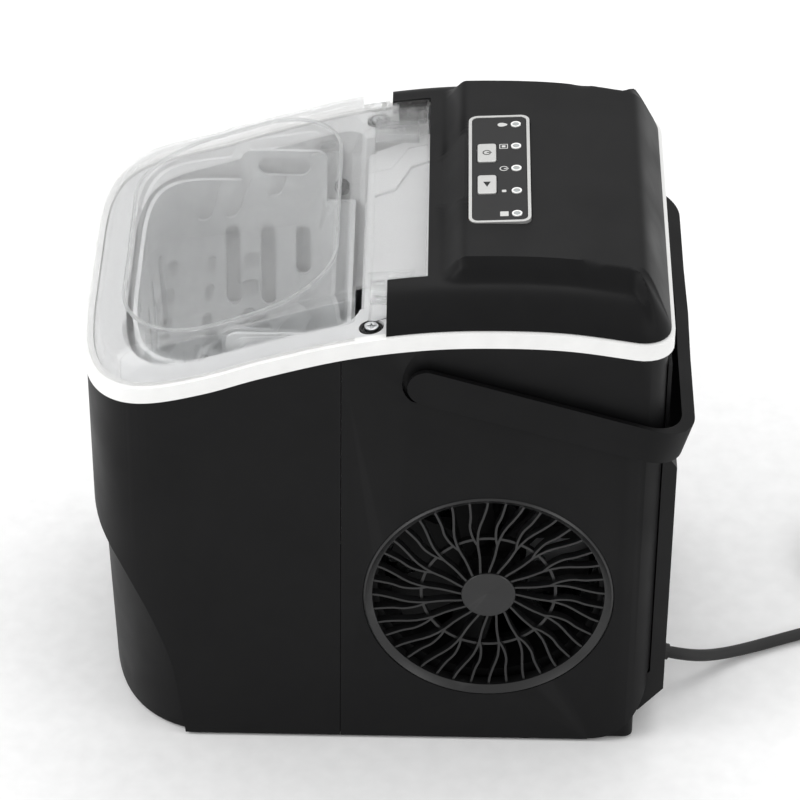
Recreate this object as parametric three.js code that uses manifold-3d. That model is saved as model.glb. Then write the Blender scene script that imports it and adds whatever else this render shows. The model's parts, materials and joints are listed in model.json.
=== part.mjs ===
// A countertop bullet-ice maker with a carrying handle, built as separate pieces.
// Frame: millimetres, +X the user's right, +Y towards the back, +Z up; the origin is on the floor under the middle.
import * as THREE from "three";
import { mergeVertices } from "three/addons/utils/BufferGeometryUtils.js";
import { ConvexGeometry } from "three/addons/geometries/ConvexGeometry.js";
import Module from "manifold-3d";

// ---------- driving dimensions ----------
const FLOOR_GAP = 1.6; // height of the rubber feet under the shells
const HALF_WIDTH = 110.4; // casing, centre to side
const FRONT_TOP_Y = -155.5; // front of the casing at the trim
const FRONT_FOOT_Y = -152;
const KICK_FOOT_Y = -146.5; // front of the recessed lower arch, at the floor
const REAR_Y = 140; // back of the casing
const TRIM_REAR_Y = 142.8; // the trim and cover overhang the back
const CORNER = 20; // rear corner radius
const BASE_REAR_Y = 132.1;
const SEAM_Y = -22.6; // joint between the front and the rear casing
const WALL = 2.6;
const TRIM_HEIGHT = 9;
const LID_RISE = 17; // lid top above the top of the trim
const GAP = 0.3; // air between pieces that touch

const FAN = { y: 53.6, z: 96.3, open: 60, bezel: 64.5, hub: 14, ribs: 20 };
const HANDLE = { y: 20, z: 231, tilt: -16.5, reach: 138.8, bow: 0.6, band: 19.4, inner: 111, outer: 113.8,
    bar: 7 };
const LID_AXIS = { y: 10, z: 269 };
const NOTCH = { half: 83.5, y: 19.5, ear: -0.5 }; // the cover's cut-out for the lid's tongue
const TRAY_AXIS = { y: 30, z: 232 };
const PANEL = { x: 3.2, y: 55.1, half: 50, depth: 15.7, tilt: 3.1 };
const CORD = { d: 6.5, x: 58, z: 24, slope: 12 }; // where the lead leaves the back of the base

const wasm = await Module();
wasm.setup();
const root = new THREE.Group();

// ---------- materials ----------
const paint = (color, roughness, metalness = 0, more = {}) =>
  new THREE.MeshStandardMaterial({ color, roughness, metalness, ...more });
const MAT = {
  shell: paint(0x2a2a2b, 0.55),
  cover: paint(0x323233, 0.5),
  white: paint(0xf2f2f0, 0.35),
  liner: paint(0xe6e7e8, 0.4),
  clear: paint(0xe8eef0, 0.06, 0, { transparent: true, opacity: 0.35 }),
  silver: paint(0xc4c4c2, 0.4, 0.6),
  led: paint(0x8d8d8a, 0.3),
  steel: paint(0x8c8f92, 0.35, 1),
  copper: paint(0xb06a3c, 0.35, 1),
  dark: paint(0x151516, 0.6),
  rubber: paint(0x101010, 0.85),
  board: paint(0x1f5c36, 0.6),
};

// ---------- geometry helpers ----------
const V = (x, y, z) => new THREE.Vector3(x, y, z);

// A closed three.js geometry as a manifold-3d solid.
function solid(geometry) {
  const g = geometry.index ? geometry.toNonIndexed() : geometry;
  const bare = new THREE.BufferGeometry().setAttribute("position", g.getAttribute("position"));
  const merged = mergeVertices(bare, 1e-3);
  return new wasm.Manifold(
    new wasm.Mesh({
      numProp: 3,
      vertProperties: new Float32Array(merged.attributes.position.array),
      triVerts: new Uint32Array(merged.index.array),
    }),
  );
}

function geometryOf(shape) {
  const m = shape.getMesh();
  const points = new Float32Array(m.numVert * 3);
  for (let i = 0; i < m.numVert; i++) points.set(m.vertProperties.subarray(i * m.numProp,
      i * m.numProp + 3), i * 3);
  const g = new THREE.BufferGeometry();
  g.setAttribute("position", new THREE.BufferAttribute(points, 3));
  g.setIndex(new THREE.BufferAttribute(new Uint32Array(m.triVerts), 1));
  g.computeVertexNormals();
  return g;
}

function add(name, shape, material, parent = root) {
  const geometry = shape.isBufferGeometry ? shape : geometryOf(shape);
  const mesh = new THREE.Mesh(geometry, material);
  mesh.name = name;
  parent.add(mesh);
  return mesh;
}

const cut = (body, ...tools) => tools.reduce((left, tool) => left.subtract(tool), body);
const join = (...bodies) => bodies.reduce((sum, body) => sum.add(body));

// A box from its lowest and highest corners.
function box(x0, y0, z0, x1, y1, z1) {
  const g = new THREE.BoxGeometry(x1 - x0, y1 - y0, z1 - z0);
  return solid(g.translate((x0 + x1) / 2, (y0 + y1) / 2, (z0 + z1) / 2));
}

const shapeOf = (points) => new THREE.Shape(points.map(([a, b]) => new THREE.Vector2(a, b)));

// An outline in the plane across an axis, pushed along that axis from one place to another.
function prism(axis, outline, from, to) {
  const shape = outline instanceof THREE.Shape ? outline : shapeOf(outline);
  const g = new THREE.ExtrudeGeometry(shape, { depth: to - from, bevelEnabled: false, curveSegments: 2 });
  g.translate(0, 0, from);
  const turn = new THREE.Matrix4();
  if (axis === "x") turn.makeBasis(V(0, 1, 0), V(0, 0, 1), V(1, 0, 0));
  if (axis === "y") turn.makeBasis(V(0, 0, 1), V(1, 0, 0), V(0, 1, 0));
  return solid(g.applyMatrix4(turn));
}

// A turned piece from its closed [radius, height] profile, standing on the Z axis.
function turned(profile, sides) {
  const area = profile.reduce((sum, [r, z], i) => {
    const [r1, z1] = profile[(i + 1) % profile.length];
    return sum + r * z1 - r1 * z;
  }, 0);
  const line = area > 0 ? profile : [...profile].reverse();
  const g = new THREE.LatheGeometry(line.map(([r, z]) => new THREE.Vector2(r, z)), sides);
  return solid(g.rotateX(Math.PI / 2));
}

// A cylinder or cone along an axis, from its first end to its second.
function rod(axis, a, b, from, to, r0, r1 = r0, sides = 24) {
  const g = new THREE.CylinderGeometry(r1, r0, to - from, sides);
  g.translate(0, (from + to) / 2, 0);
  if (axis === "x") g.rotateZ(-Math.PI / 2).translate(0, a, b);
  if (axis === "y") g.translate(a, 0, b);
  if (axis === "z") g.rotateX(Math.PI / 2).translate(a, b, 0);
  return solid(g);
}

function roundedRect(w, h, r) {
  const s = new THREE.Shape();
  s.absarc(w / 2 - r, h / 2 - r, r, 0, Math.PI / 2);
  s.absarc(-w / 2 + r, h / 2 - r, r, Math.PI / 2, Math.PI);
  s.absarc(-w / 2 + r, -h / 2 + r, r, Math.PI, 1.5 * Math.PI);
  s.absarc(w / 2 - r, -h / 2 + r, r, 1.5 * Math.PI, 2 * Math.PI);
  s.closePath();
  return s;
}

// A slot with round ends, as an outline centred on (a, b).
function slot(a, b, w, h) {
  return roundedRect(w, h, Math.min(w, h) / 2 - 0.01)
    .getPoints(1)
    .map((p) => [p.x + a, p.y + b]);
}

// A solid skinned through rings of the same number of points, counter-clockwise from above.
function loft(rings) {
  const n = rings[0].length;
  const points = rings.flat();
  const faces = [];
  for (let k = 0; k + 1 < rings.length; k++)
    for (let i = 0; i < n; i++) {
      const a = k * n + i;
      const b = k * n + ((i + 1) % n);
      faces.push(a, b, b + n, a, b + n, a + n);
    }
  const flat = (ring) => ring.map((p) => new THREE.Vector2(p.x, p.y));
  for (const [a, b, c] of THREE.ShapeUtils.triangulateShape(flat(rings[0]), [])) faces.push(a, c, b);
  const last = (rings.length - 1) * n;
  for (const [a, b, c] of THREE.ShapeUtils.triangulateShape(flat(rings.at(-1)), [])) faces.push(last + a,
      last + b, last + c);
  const g = new THREE.BufferGeometry().setFromPoints(points);
  g.setIndex(faces);
  return solid(g);
}

// ---------- the casing's outline, seen from above ----------
// Straight sides, a bowed front that is a superellipse of the given power, and round rear corners.
const FRONT_STEPS = 20;
function plan({ half, front, rear, power, shoulder, corner = CORNER, z }) {
  const ring = [];
  for (let i = 0; i <= FRONT_STEPS; i++) {
    const a = Math.PI + (Math.PI * i) / FRONT_STEPS;
    const c = Math.cos(a);
    const x = half * Math.sign(c) * Math.abs(c) ** (2 / power);
    ring.push(V(x, shoulder - (shoulder - front) * Math.abs(Math.sin(a)) ** (2 / power), z));
  }
  for (const [side, start] of [[1, 0], [-1, Math.PI / 2]])
    for (let i = 0; i <= 4; i++) {
      const a = start + (Math.PI / 2) * (i / 4);
      ring.push(V(side * (half - corner) + corner * Math.cos(a), rear - corner + corner * Math.sin(a), z));
    }
  return ring;
}
// The same outline with extra points along its straight sides, for skins that follow the trim.
const SIDE_STEPS = [1, 2, 3, 4, 5, 6, 7, 8, 9].map((i) => i / 10);
function finePlan(o) {
  const ring = plan(o);
  const side = (x) => SIDE_STEPS.map((t) => V(x * o.half, THREE.MathUtils.lerp(o.shoulder,
      o.rear - o.corner, t), o.z));
  return [...ring.slice(0, FRONT_STEPS + 1), ...side(1), ...ring.slice(FRONT_STEPS + 1),
      ...side(-1).reverse()];
}
const grown = (o, g) => ({ ...o, half: o.half + g, front: o.front - g, rear: o.rear + g,
    corner: Math.max(2, (o.corner ?? CORNER) + g) });
const TOP_PLAN = { half: HALF_WIDTH, front: FRONT_TOP_Y, rear: REAR_Y, power: 4.4, shoulder: -80 };
const FOOT_PLAN = { ...TOP_PLAN, half: HALF_WIDTH - 0.4, front: FRONT_FOOT_Y };
const KICK_FOOT = { ...FOOT_PLAN, front: KICK_FOOT_Y, power: 2.8, shoulder: -70 };
const KICK_TOP = { ...TOP_PLAN, front: -150.5, power: 3.5, shoulder: -76 };
const TRIM_PLAN = { ...TOP_PLAN, half: HALF_WIDTH + 0.3, front: FRONT_TOP_Y - 0.5, rear: TRIM_REAR_Y,
    corner: 20 };
// Upper edge of the recessed lower front, seen from the side, from the floor up.
const CREASE = [[-104, -2], [-107, 22], [-111.5, 50], [-121.5, 79], [-134, 104], [-142.7, 116], [-152, 125],
    [-160, 131]];
const KICK_HEIGHT = 128;

// Height of the trim's lower edge along the depth of the machine.
const trimLine = new THREE.SplineCurve(
  [[-170, 212], [-128, 214.5], [-92, 223], [-62, 233.5], [-22, 245.2], [16, 251.8], [50, 254], [88, 253.2],
      [125, 248], [160, 242.5]].map(
    ([y, z]) => new THREE.Vector2(y, z),
  ),
).getPoints(45);
function trimZ(y) {
  const i = Math.max(1, trimLine.findIndex((p) => p.x >= y));
  const [a, b] = [trimLine[i - 1], trimLine[i]];
  return a.y + ((b.y - a.y) * (y - a.x)) / (b.x - a.x);
}
// Everything between two heights above the trim's lower edge.
function trimBand(low, high, from = -165, to = 155) {
  const line = trimLine.filter((p) => p.x > from && p.x < to);
  const under = line.map((p) => [p.x, p.y + low]);
  const over = line.map((p) => [p.x, p.y + high]).reverse();
  return prism("x", [...under, ...over], -130, 130);
}

// ---------- casing ----------
const casing = loft([plan({ ...FOOT_PLAN, z: FLOOR_GAP }), plan({ ...TOP_PLAN, z: 270 })]);
const inner = loft([
  plan({ ...grown(KICK_FOOT, -WALL), z: 1 }),
  plan({ ...grown(KICK_TOP, -WALL), z: KICK_HEIGHT }),
  plan({ ...grown(TOP_PLAN, -WALL), z: KICK_HEIGHT + 12 }),
  plan({ ...grown(TOP_PLAN, -WALL), z: 275 }),
]);
const underTrim = trimBand(-260, -GAP);

function frontShell() {
  const crease = new THREE.SplineCurve(CREASE.map(([y, z]) => new THREE.Vector2(y, z))).getPoints(16);
  const arch = [[-170, -5], [CREASE[0][0], -5], ...crease.map((p) => [p.x, p.y]), [-170, CREASE.at(-1)[1]]];
  const kick = loft([plan({ ...KICK_FOOT, z: -6 }), plan({ ...KICK_TOP, z: KICK_HEIGHT + 6 })]);
  const recess = cut(prism("x", arch, -130, 130), kick);
  const front = box(-130, -170, 0, 130, SEAM_Y - 0.15, 300);
  add("front_shell", cut(casing.intersect(front).intersect(underTrim), inner, recess), MAT.shell);
}

// The pocket in each side that the handle's arm lies in: shallow under the trim, deeper at the arm.
function armPocket(side, deeper) {
  const d = HANDLE.inner - 4 - deeper;
  const far = 130;
  const wedge = [];
  for (const y of [0, 160]) {
    const low = HANDLE.z + Math.tan((HANDLE.tilt * Math.PI) / 180) * (y - HANDLE.y) - 12.5 - deeper;
    wedge.push(V(d, y, low), V(far, y, low), V(HALF_WIDTH + 0.2 - deeper, y, 256), V(far, y, 256));
  }
  const r = 13 + deeper;
  const drop = Math.tan((HANDLE.tilt * Math.PI) / 180) * 160;
  const outline = [[HANDLE.y, 262]];
  for (let i = 0; i <= 6; i++) {
    const a = Math.PI / 2 + (Math.PI * i) / 6;
    outline.push([HANDLE.y + r * Math.cos(a) * 0.95,
        HANDLE.z + (a < Math.PI * 0.9 ? 8 : 0) + r * Math.sin(a)]);
  }
  outline.push([HANDLE.y + 160, HANDLE.z + drop - r], [HANDLE.y + 160, 262]);
  const pocket = solid(new ConvexGeometry(wedge)).intersect(prism("x", outline.reverse(), 80, 140));
  return side > 0 ? pocket : pocket.mirror([1, 0, 0]);
}

// The lower rear corner of the sides is rounded off, and the base shows there.
function lowerCorner(grow) {
  const outline = [[150, -2], [150, 38], [139 + grow, 38]];
  for (let i = 1; i <= 8; i++) {
    const a = (-Math.PI / 2) * (i / 8);
    outline.push([108 + (31 + grow) * Math.cos(a), 38 + (36 + grow) * Math.sin(a)]);
  }
  return prism("x", [...outline, [108, -2]], -130, 130);
}

function rearShell() {
  const rear = box(-130, SEAM_Y + 0.15, 0, 130, 160, 300);
  let hollow = inner;
  for (const side of [1, -1]) hollow = cut(hollow, armPocket(side, WALL));
  let shell = cut(casing.intersect(rear).intersect(underTrim), hollow);
  for (const side of [1, -1]) {
    shell = cut(shell, armPocket(side, 0));
    const [a, b] = side > 0 ? [95, 120] : [-120, -95];
    shell = cut(shell, rod("x", HANDLE.y, HANDLE.z, a, b, 4.3));
  }
  shell = cut(shell, rod("x", FAN.y, FAN.z, 90, 130, FAN.bezel + GAP, FAN.bezel + GAP, 48));
  for (let row = 0; row < 9; row++) {
    const z = 52 + row * 11;
    shell = cut(shell, prism("x", slot(FAN.y, z, 104, 5), -130, -90));
  }
  shell = cut(shell, box(-78, 130, 40, 78, 150, 165)); // behind the vented rear cover
  shell = cut(shell, lowerCorner(0), box(-96.5, 125, -2, 96.5, 150, 38));
  add("rear_shell", shell, MAT.shell);
}

function base() {
  const rim = { ...KICK_FOOT, half: HALF_WIDTH - 3.2, front: KICK_FOOT_Y + 4.4, rear: BASE_REAR_Y,
      corner: 17 };
  const inset = { ...grown(rim, -2.6), corner: 14 };
  const outline = (o) => loft([plan({ ...o, z: FLOOR_GAP }), plan({ ...o, z: 31 })]);
  const outer = outline(rim).add(outline({ ...rim, corner: 5 }).intersect(lowerCorner(0.4)));
  const hole = loft([plan({ ...inset, z: FLOOR_GAP + 3 }), plan({ ...inset, z: 40 })]);
  let tray = cut(outer, hole, rod("y", CORD.x, CORD.z, 110, 150, 4.8));
  tray = cut(tray, rod("z", -55, -95, 0, 10, 8.3, 8.3, 20));
  add("base_tray", tray, MAT.shell);
  for (const [name, x, y] of [
    ["foot_front_right", 78, -100],
    ["foot_front_left", -78, -100],
    ["foot_rear_right", 84, 108],
    ["foot_rear_left", -84, 108],
  ])
    add(name, rod("z", x, y, 0, FLOOR_GAP - GAP, 8, 9, 20), MAT.rubber);
  const plug = join(rod("z", -55, -95, 0.5, 1.3, 10.5, 10.5, 20), rod("z", -55, -95, 1.2, 9, 7.8, 7.8, 20));
  add("drain_plug", cut(plug, box(-61, -95.8, 0, -49, -94.2, 1)), MAT.dark);
}

function rearCover() {
  const y = REAR_Y + GAP;
  const side = [[133, 9], [135, 9], [147.8, 24], [147.8, 170], [142.2, 178], [142.2, 234], [y, 234],
      [y, 35.6], [133, 28]];
  let cover = cut(prism("x", side, -94, 94), box(CORD.x - 9, 130, 0, CORD.x + 9, 150, 32));
  cover = cut(cover, box(-75, 139, 52, 75, 144.8, 166));
  for (let row = 0; row < 8; row++)
    for (const x of [-42, 42]) cover = cut(cover, prism("y", slot(66 + row * 12, x, 5, 66), 139, 150));
  for (const [x, z] of SCREWS) cover = cut(cover, rod("y", x, z, 142.6, 150, 4.3));
  add("rear_cover", cover, MAT.dark);
  SCREWS.forEach(([x, z], i) => {
    const head = rod("y", x, z, 142.6 + GAP, 145.2, 3.8, 3.2, 14);
    const cross = join(box(x - 2, 144.2, z - 0.5, x + 2, 148, z + 0.5),
        box(x - 0.5, 144.2, z - 2, x + 0.5, 148, z + 2));
    add("rear_screw_" + (i + 1), cut(head, cross), MAT.steel);
  });
}
const SCREWS = [[-84, 44], [84, 44], [-84, 162], [84, 162]];

function trim() {
  const outer = loft([plan({ ...TRIM_PLAN, z: 180 }), plan({ ...TRIM_PLAN, z: 300 })]);
  const hole = loft([plan({ ...grown(TRIM_PLAN, -5), z: 170 }), plan({ ...grown(TRIM_PLAN, -5), z: 310 })]);
  add("trim_ring", cut(outer.intersect(trimBand(0, TRIM_HEIGHT)), hole), MAT.white);
}

// ---------- fan, grille and refrigeration ----------
// Radius and turn in degrees along the two branches of a rib.
const RIB_BRANCHES = [
  [[13, 1], [20, -4.5], [26, -6.6], [32, -7], [41, -9.6], [49, -13.6], [56, -16], [61.4, -16.6]],
  [[32, -7], [37, -4.6], [44, -4.4], [51, -6.6], [61.4, -7.6]],
];
function grille() {
  const front = HALF_WIDTH + 0.6;
  const profile = [[FAN.open, front - 9], [FAN.bezel, front - 9], [FAN.bezel, front - 1],
      [FAN.bezel - 1, front], [FAN.open + 1.5, front - 2], [FAN.open, front - 3]];
  const bezel = turned([...profile, profile[0]], 48);
  const dish = [[0, front - 9], [FAN.hub, front - 9], [FAN.hub, front - 3], [FAN.hub - 1.2, front - 3],
      [0, front - 5]];
  const hub = turned(dish, 28);
  let whole = bezel.add(hub).rotate([0, 90, 0]).translate([0, FAN.y, FAN.z]);
  // Swept ribs leave the hub, and each forks in two on its way to the rim.
  for (let i = 0; i < FAN.ribs; i++)
    for (const branch of RIB_BRANCHES) {
      const line = branch.map(([r, turn]) => {
        const a = (2 * Math.PI * i) / FAN.ribs + (turn * Math.PI) / 180;
        return [r * Math.cos(a), r * Math.sin(a)];
      });
      whole = whole.add(prism("x", strip(line, 1.2).map(([a, b]) => [a + FAN.y, b + FAN.z]), front - 8.5,
          front - 4));
    }
  const ring = cut(rod("x", FAN.y, FAN.z, front - 9, front - 6, 35.5, 35.5, 40),
      rod("x", FAN.y, FAN.z, front - 10, front - 5, 34, 34, 40));
  add("fan_grille", whole.add(ring), MAT.shell);
}

// A thin band of constant width along a line of points.
function strip(line, width) {
  const left = [];
  const right = [];
  line.forEach(([x, y], i) => {
    const [px, py] = line[Math.max(0, i - 1)];
    const [qx, qy] = line[Math.min(line.length - 1, i + 1)];
    const l = Math.hypot(qx - px, qy - py);
    const [nx, ny] = [(-(qy - py) / l) * (width / 2), ((qx - px) / l) * (width / 2)];
    left.push([x + nx, y + ny]);
    right.push([x - nx, y - ny]);
  });
  return [...right, ...left.reverse()];
}

function fan() {
  const blades = 7;
  let wheel = rod("x", FAN.y, FAN.z, 76, 94, 17, 15, 24);
  for (let i = 0; i < blades; i++) {
    const blade = new THREE.BoxGeometry(1.6, 38, 22).rotateY(0.6).translate(85, 33, 0);
    wheel = wheel.add(solid(blade.rotateX((2 * Math.PI * i) / blades).translate(0, FAN.y, FAN.z)));
  }
  add("fan_wheel", cut(wheel, rod("x", FAN.y, FAN.z, 60, 90, 2.6, 2.6, 16)), MAT.dark);
  const motor = join(rod("x", FAN.y, FAN.z, 52, 72, 20, 20, 24),
      rod("x", FAN.y, FAN.z, 72, 88, 2.2, 2.2, 12));
  const arms = join(box(48, FAN.y - 58, FAN.z - 4, 54, FAN.y + 58, FAN.z + 4),
      box(48, FAN.y - 4, 24, 54, FAN.y + 4, 168));
  add("fan_motor", join(motor, arms), MAT.dark);
  const shroud = cut(box(70, FAN.y - 62, FAN.z - 62, 98, FAN.y + 62, FAN.z + 62),
      rod("x", FAN.y, FAN.z, 60, 110, 56, 58, 40));
  add("fan_shroud", shroud, MAT.dark);
  let coil = box(28, 0, 36, 44, 108, 160);
  for (let i = 0; i < 9; i++) coil = cut(coil, box(20, 4, 44 + i * 13, 40, 104, 50 + i * 13));
  add("condenser", coil, MAT.steel);
}

function refrigeration() {
  const [cx, cy] = [-46, 66];
  const pot = turned([[0, 20], [40, 20], [44, 26], [44, 104], [36, 118], [16, 124], [0, 124]], 28);
  add("compressor", pot.translate([cx, cy, 0]).add(box(cx - 46, cy - 46, 14, cx + 46, cy + 46, 20.5)),
      MAT.dark);
  for (const [name, x, y] of [["front", cx + 38, cy - 38], ["rear", cx - 38, cy + 38]])
    add("compressor_mount_" + name, rod("z", x, y, 6.3, 13.7, 7, 7, 16), MAT.rubber);
  const suction = [[-46, 66, 124.4], [-46, 66, 134], [-45, 73, 146], [-36, 92, 160], [-14, 94, 190],
      [6, 94, 226], [14, 90, 256], [14, 72, 268], [14, 48, 268], [14, 35, 262], [14, 34, 248],
      [14, 34, 236.6]];
  add("suction_pipe", pipe(suction.map((p) => V(...p)), 3.2), MAT.copper);
  add("water_pump", join(box(-40, -62, 20, -8, -20, 56), rod("z", -24, -40, 55, 66, 6, 6, 16)), MAT.dark);
  const hose = [[-24, -40, 66.4], [-24, -40, 82], [-58, -16, 98], [-92, 4, 112], [-99.8, 14, 140],
      [-99.8, 38, 190], [-99.8, 52, 226], [-98, 52, 242], [-90, 52, 246], [-84, 52, 246]];
  add("water_hose", pipe(hose.map((p) => V(...p)), 3.2), MAT.clear);
  add("control_board", box(-70, 112, 196, 70, 114, 240), MAT.board);
}

function pipe(points, r) {
  const path = new THREE.CatmullRomCurve3(points, false, "centripetal");
  const round = new THREE.Shape().absarc(0, 0, r, 0, 2 * Math.PI);
  const g = new THREE.ExtrudeGeometry(round, { steps: points.length * 3, extrudePath: path,
      curveSegments: 4, bevelEnabled: false });
  return solid(g);
}

// ---------- ice making ----------
function linerAndBasket() {
  const hold = { ...TOP_PLAN, half: 105, front: -150, rear: 100, corner: 6 };
  const block = loft([plan({ ...grown(hold, 0.3), z: 112 }), plan({ ...grown(hold, 0.3), z: 300 })]);
  const well = loft([plan({ ...grown(hold, -19), rear: -16, corner: 12, z: 116 }),
      plan({ ...grown(hold, -13), rear: -13, corner: 14, z: 300 })]);
  const pit = loft([plan({ ...grown(hold, -16), rear: 78, corner: 8, z: 176 }),
      plan({ ...grown(hold, -13), rear: 80, corner: 8, z: 300 })]);
  const behind = pit.intersect(box(-130, -9.5, 160, 130, 90, 300));
  const saddle = box(-79.5, -20, 214, 79.5, 0, 300); // ice slides over here into the basket
  const rim = trimBand(-140, TRIM_HEIGHT - 1.5, -165, 95).intersect(box(-130, -165, 0, 130, 84, 300));
  let liner = block.intersect(rim);
  const skin = loft([plan({ ...grown(hold, 3), z: 100 }), plan({ ...grown(hold, 3), z: 290 })]);
  const under = cut(skin.intersect(trimBand(-200, TRIM_HEIGHT - 4.1, -164, 95)), fatWell(hold),
      fatPit(hold));
  liner = cut(liner, well, behind, saddle, under);
  liner = cut(liner, box(-26, 78, 200, 26, 90, 300), rod("x", 52, 245, -110, -80, 5.4));
  for (const side of [-1, 1]) {
    const [a, b] = side > 0 ? [80, 96] : [-96, -80];
    liner = cut(liner, rod("x", SENSOR.y, SENSOR.z, a, b, 4.3, 4.3, 16));
    liner = cut(liner, rod("z", side * FLANGE_SCREW.x, FLANGE_SCREW.y, FLANGE_SCREW.z, 270, 6.3, 6.3, 18));
  }
  add("inner_bin", liner, MAT.liner);

  const inside = { ...TOP_PLAN, half: 105, front: -150, rear: -19, corner: 10 };
  const outer = loft([plan({ ...grown(inside, -24), rear: -24, z: 124 }),
      plan({ ...grown(inside, -19), rear: -19, z: 224 })]);
  const room = loft([plan({ ...grown(inside, -26), rear: -26, z: 126.2 }),
      plan({ ...grown(inside, -21), rear: -21, z: 226 })]);
  let basket = cut(outer, room);
  // A raised tab with a finger hole on each side wall.
  for (const side of [1, -1]) {
    const tab = roundedRect(24, 46, 6).getPoints(3).map((p) => [p.x + 231, p.y - 58]);
    const x0 = side > 0 ? 83.9 : -85.9;
    const wall = prism("x", tab.map(([z, y]) => [y, z]).reverse(), x0, x0 + 2);
    basket = cut(basket.add(wall.intersect(box(-90, -90, 222, 90, -30, 250))),
        prism("x", slot(-58, 233, 28, 11), side * 86 - 8, side * 86 + 8));
    for (const [y, high, low] of [[-86, 196, 146], [-67, 196, 146], [-48, 196, 166]])
      basket = cut(basket, prism("x", slot(y, (high + low) / 2, 8, high - low), side * 84 - 12,
          side * 84 + 12));
  }
  basket = cut(basket, box(-90, -35, 212, 90, 0, 260));
  for (const x of [-60, -36, -12, 12, 36, 60]) basket = cut(basket,
      prism("y", slot(168, x, 44, 7), -160, -100));
  for (let row = 0; row < 3; row++)
    for (let k = -2; k <= 2; k++) basket = cut(basket, prism("z", slot(k * 26, -102 + row * 26, 16, 7), 120,
        130));
  add("ice_basket", basket, MAT.white);
}
const fatWell = (hold) =>
  loft([plan({ ...grown(hold, -16.4), rear: -13.4, corner: 14, z: 90 }),
      plan({ ...grown(hold, -10.4), rear: -10.4, corner: 16, z: 310 })]).intersect(
    box(-130, -165, 113.4, 130, 0, 310),
  );
const fatPit = (hold) =>
  loft([plan({ ...grown(hold, -13.4), rear: 80.6, corner: 10, z: 90 }),
      plan({ ...grown(hold, -10.4), rear: 82.6, corner: 10, z: 310 })]).intersect(
    box(-130, -13, 173.4, 130, 90, 310),
  );

function evaporator() {
  const { y, z } = TRAY_AXIS;
  let plate = box(-52, y - 17, z - 2, 52, y + 17, z + 4);
  for (const [dy, count] of [[-9, 5], [9, 4]])
    for (let i = 0; i < count; i++) plate = plate.add(rod("z", (i - (count - 1) / 2) * 22, y + dy, z - 20,
        z, 4.2, 5, 12));
  plate = cut(plate.add(box(-40, y - 15, z, -28, y - 7, z + 14)), box(-36, y - 20, z + 8, -32, y, z + 11));
  add("evaporator", plate.add(box(28, y - 15, z, 40, y - 7, z + 14)), MAT.copper);
  // A sloping cover over the evaporator, rolled at its front edge, with a stepped plate at the left end.
  let hood = prism("x", [[-10, 243.4], [26, 258.9], [26, 260.4], [-10, 244.9]], -78, 78);
  hood = hood.add(rod("x", -9.6, 242.6, -78, 78, 3.2, 3.2, 16));
  const step = [[-78, -9], [-36, -9], [-36, 2], [-52, 10], [-52, 19], [-47, 22], [-52, 26], [-78, 26]];
  const plate2 = prism("z", step, 230, 280).intersect(prism("x",
      [[-10, 244.5], [27, 260.4], [27, 262.4], [-10, 246.5]], -80, 80));
  hood = hood.add(plate2);
  add("evaporator_cover", hood, MAT.white);
}

// A trough that turns about the axis above it, and a blade that sweeps in front of it.
function arcOutline(r, from, to, steps) {
  return Array.from({ length: steps + 1 }, (_, i) => {
    const a = ((from + ((to - from) * i) / steps) * Math.PI) / 180;
    return [TRAY_AXIS.y + r * Math.cos(a), TRAY_AXIS.z + r * Math.sin(a)];
  });
}
function tray() {
  const outer = arcOutline(31, 180, 360, 16);
  const wall = [...outer, ...arcOutline(28.5, 360, 180, 16)];
  let trough = prism("x", wall, -62, 62);
  for (const x of [-62, 60]) trough = trough.add(prism("x", outer, x, x + 2));
  const { y, z } = TRAY_AXIS;
  for (const [a, b] of [[-69, -61.9], [61.9, 69]]) trough = trough.add(rod("x", y, z - 1, a, b, 5, 5, 16));
  add("water_tray", trough, MAT.liner);

  const blade = [...arcOutline(36, 188, 232, 6), ...arcOutline(33.8, 232, 188, 6)];
  let pusher = prism("x", blade, -75, 75);
  const arm = [...arcOutline(36, 188, 232, 6), ...arcOutline(9, 250, 160, 4)];
  for (const x of [-75, 72.6]) {
    const cheek = prism("x", arm, x, x + 2.4).add(rod("x", y, z - 1, x, x + 2.4, 9, 9, 18));
    pusher = pusher.add(cheek);
  }
  add("ice_pusher", cut(pusher, rod("x", y, z - 1, -80, 80, 5.4, 5.4, 18)), MAT.white);
  add("tray_motor", join(box(78, y - 14, z - 20, 89, y + 14, z + 14),
      rod("x", y, z - 1, 69.4, 78.2, 3.5, 3.5, 12)), MAT.dark);
  add("tray_bearing", join(box(-89, y - 10, z - 12, -78, y + 10, z + 10),
      rod("x", y, z - 1, -78.2, -69.4, 3.5, 3.5, 12)), MAT.liner);
}

const SENSOR = { y: -27, z: 218 };
const FLANGE_SCREW = { x: 96, y: -8, z: 253.6 };
function sensors() {
  for (const [name, x] of [["right", 1], ["left", -1]]) {
    const [a, b] = x > 0 ? [86.4, 93] : [-93, -86.4];
    add("ice_full_sensor_" + name, rod("x", SENSOR.y, SENSOR.z, a, b, 4, 4, 16), MAT.dark);
    const { z } = FLANGE_SCREW;
    add("flange_screw_" + name, rod("z", x * FLANGE_SCREW.x, FLANGE_SCREW.y, z + GAP, z + 3.4, 6, 5.2, 18),
        MAT.steel);
  }
}

// ---------- lid, cover and panel ----------
const smooth = (t) => {
  const c = Math.min(1, Math.max(0, t));
  return c * c * (3 - 2 * c);
};
// How far the skin has risen from its rim, a given distance in from the edge.
const LIP = 1.6;
const shoulderRise = (d, total) => LIP + (total - LIP) * Math.sin(
    (Math.PI / 2) * Math.min(1, Math.max(0, d) / 19)) ** 0.8;

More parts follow.
